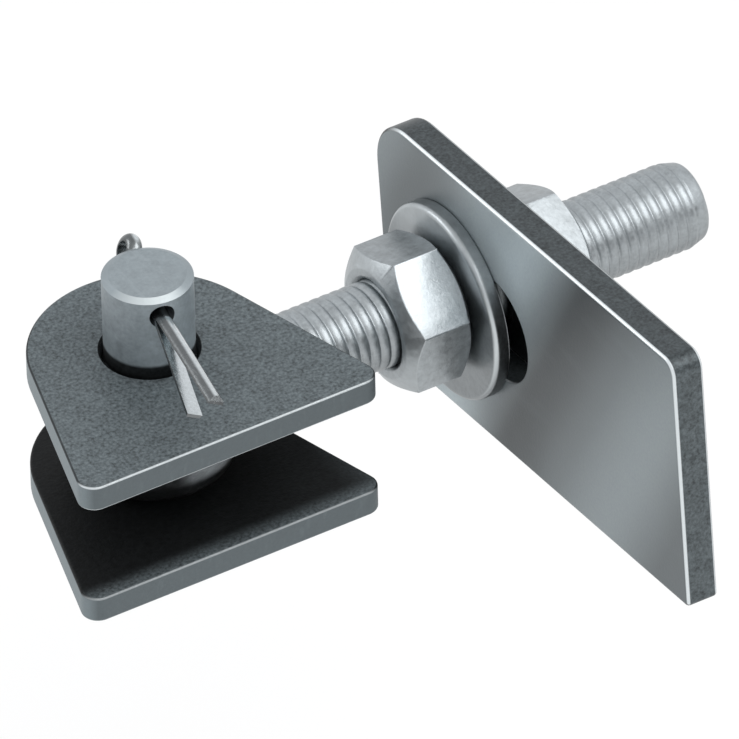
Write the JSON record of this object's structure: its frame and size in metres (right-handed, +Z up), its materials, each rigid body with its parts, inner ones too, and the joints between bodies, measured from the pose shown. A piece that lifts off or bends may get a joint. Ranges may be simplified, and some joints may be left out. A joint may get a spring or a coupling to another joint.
{
  "type": "adjustable gate hinge",
  "caption": "Weld-on gate hinge: an eye bolt turns on a pin between two ears and carries a slotted mounting plate clamped between nuts.",
  "frame": {"origin": "where the hinge pin's axis crosses the stud's axis, at the middle of the eye", "axes": "+Z up the hinge pin, +X along the stud to its free end, the ears' weld edges face -Y"},
  "size_m": [0.137, 0.1084, 0.0619],
  "materials": {
    "zinc_bolt": "zinc plated, satin",
    "zinc_nut": "zinc plated, satin",
    "zinc_washer": "zinc plated, satin",
    "bright_pin": "bright drawn bar, matte sawn end",
    "split_wire": "drawn wire, semi-gloss",
    "ear_steel": "dark tumbled steel, fine grain, bright arrises",
    "plate_steel": "dark burnished flat bar, bright arrises"
  },
  "bodies": {
    "lower_ear": {"lower_ear": "ear_steel"},
    "upper_ear": {"upper_ear": "ear_steel"},
    "pin": {"hinge_pin": "bright_pin", "upper_split_pin": "split_wire", "lower_split_pin": "split_wire"},
    "eye_bolt": {"eye_bolt": "zinc_bolt"},
    "inner_washer": {"inner_washer": "zinc_washer"},
    "inner_nut": {"inner_nut": "zinc_nut"},
    "outer_nut": {"outer_nut": "zinc_nut"},
    "outer_washer": {"outer_washer": "zinc_washer"},
    "mounting_plate": {"mounting_plate": "plate_steel"}
  },
  "joints": [
    {"name": "upper_ear_turn", "type": "hinge", "parent": "lower_ear", "child": "upper_ear", "pos_m": [0, 0, 0], "axis": [0, 0, 1], "continuous": true},
    {"name": "pin_turn", "type": "hinge", "parent": "lower_ear", "child": "pin", "pos_m": [0, 0, 0], "axis": [0, 0, 1], "continuous": true},
    {"name": "gate_swing", "type": "hinge", "parent": "lower_ear", "child": "eye_bolt", "pos_m": [0, 0, 0], "axis": [0, 0, 1], "range_deg": [0, 180]},
    {"name": "stud_adjust", "type": "slide", "parent": "eye_bolt", "child": "inner_washer", "axis": [1, 0, 0], "range_m": [-0.003, 0.0215]},
    {"name": "inner_nut_turn", "type": "hinge", "parent": "inner_washer", "child": "inner_nut", "pos_m": [0.0511, 0, 0], "axis": [1, 0, 0], "range_deg": [-541, 3871]},
    {"name": "outer_nut_turn", "type": "hinge", "parent": "inner_washer", "child": "outer_nut", "pos_m": [0.0761, 0, 0], "axis": [1, 0, 0], "range_deg": [-541, 3871]},
    {"name": "plate_turn", "type": "hinge", "parent": "inner_washer", "child": "outer_washer", "pos_m": [0.0681, 0, 0], "axis": [1, 0, 0], "continuous": true},
    {"name": "slot_slide", "type": "slide", "parent": "outer_washer", "child": "mounting_plate", "axis": [0, 0.9965, -0.0832], "range_m": [-0.0046, 0.0154]}
  ],
  "couplings": [
    {"joint": "inner_nut_turn", "follows": "stud_adjust", "rad_per_m": 3141.6},
    {"joint": "outer_nut_turn", "follows": "stud_adjust", "rad_per_m": 3141.6}
  ]
}
